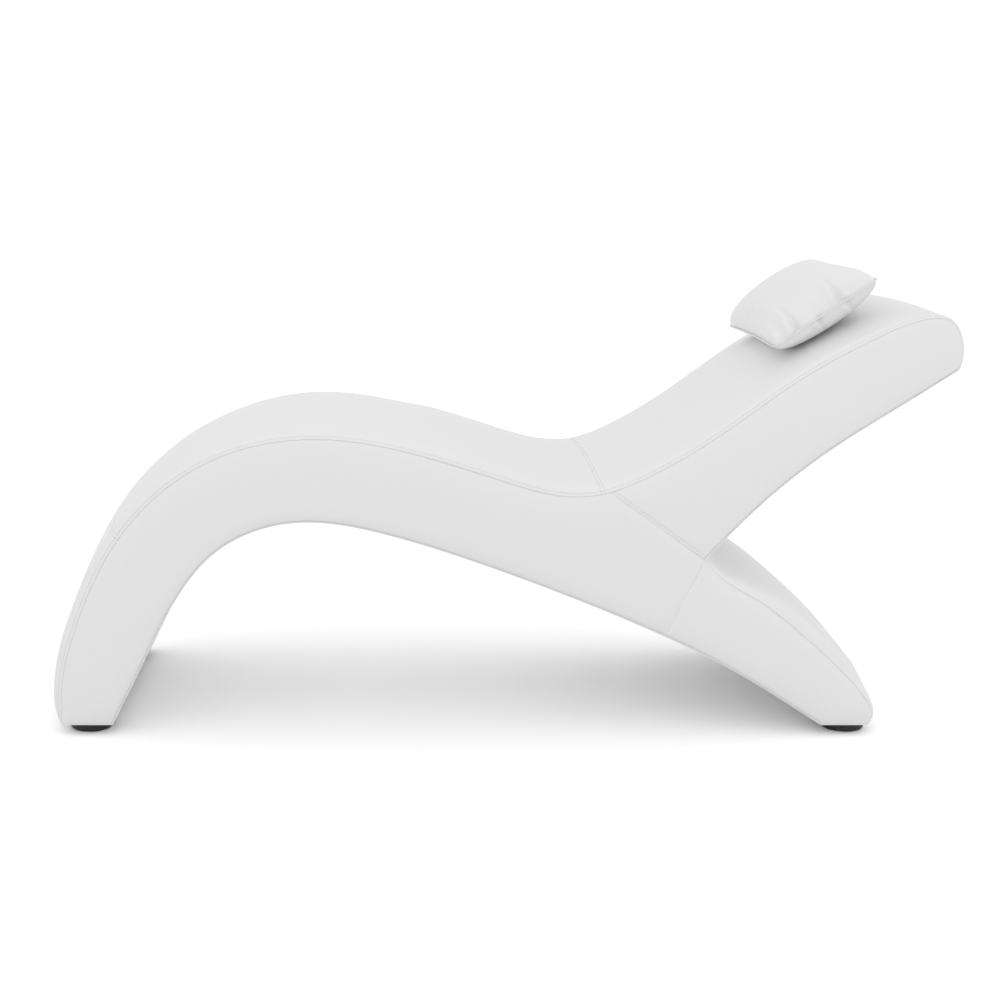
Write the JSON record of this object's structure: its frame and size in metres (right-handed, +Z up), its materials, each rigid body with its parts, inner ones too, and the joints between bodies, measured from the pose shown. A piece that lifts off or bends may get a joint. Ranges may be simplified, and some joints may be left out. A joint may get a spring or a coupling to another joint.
{
  "type": "relaxation lounger",
  "caption": "Upholstered spa relaxation lounger in white: a reclined, softly curved deck on two splayed legs, with a loose head pillow.",
  "frame": {"origin": "on the floor, under the middle of the bounding box", "axes": "+X from the foot end to the head end, +Y across the width towards the far side, +Z up"},
  "size_m": [1.8184, 0.65, 0.9394],
  "materials": {
    "plywood": "bare birch plywood",
    "foam": "open-cell upholstery foam",
    "upholstery": "white polyurethane leather, fine grain, satin",
    "glide": "moulded black, matte",
    "zinc_steel": "zinc plated",
    "pillow_filling": "polyester fibre",
    "pillow_cover": "white polyurethane leather, fine grain, satin"
  },
  "bodies": {
    "lounger": {"side_rib_near": "plywood", "side_rib_far": "plywood", "centre_rib": "plywood", "shin_rail": "plywood", "calf_rail": "plywood", "knee_rail": "plywood", "thigh_rail": "plywood", "seat_rail": "plywood", "waist_rail": "plywood", "back_rail": "plywood", "head_rail": "plywood", "rear_shin_rail": "plywood", "seat_arch_rail": "plywood", "front_foot_plate": "plywood", "rear_foot_plate": "plywood", "leg_skin": "plywood", "seat_skin": "plywood", "back_skin": "plywood", "back_rear_skin": "plywood", "rear_leg_skin": "plywood", "arch_skin": "plywood", "leg_foam": "foam", "seat_foam": "foam", "back_foam": "foam", "head_foam": "foam", "rear_leg_foam": "foam", "back_rear_padding": "foam", "arch_padding": "foam", "side_foam_near": "foam", "side_foam_far": "foam", "leg_cover": "upholstery", "seat_cover": "upholstery", "back_cover": "upholstery", "head_cover": "upholstery", "rear_leg_cover": "upholstery", "back_rear_cover": "upholstery", "arch_cover": "upholstery", "front_foot_cover": "upholstery", "rear_foot_cover": "upholstery", "side_cover_near_front": "upholstery", "side_cover_near_back": "upholstery", "side_cover_near_rear": "upholstery", "side_cover_far_front": "upholstery", "side_cover_far_back": "upholstery", "side_cover_far_rear": "upholstery", "front_glide_near": "glide", "front_glide_far": "glide", "rear_glide_near": "glide", "rear_glide_far": "glide", "glide_bolts": "zinc_steel", "threaded_inserts": "zinc_steel"},
    "pillow": {"pillow_filling": "pillow_filling", "pillow_cover_top": "pillow_cover", "pillow_cover_bottom": "pillow_cover"}
  },
  "joints": [
    {"name": "pillow_lift", "type": "slide", "parent": "lounger", "child": "pillow", "axis": [-0.4679, 0, 0.8838], "range_m": [0, 0.3]}
  ]
}
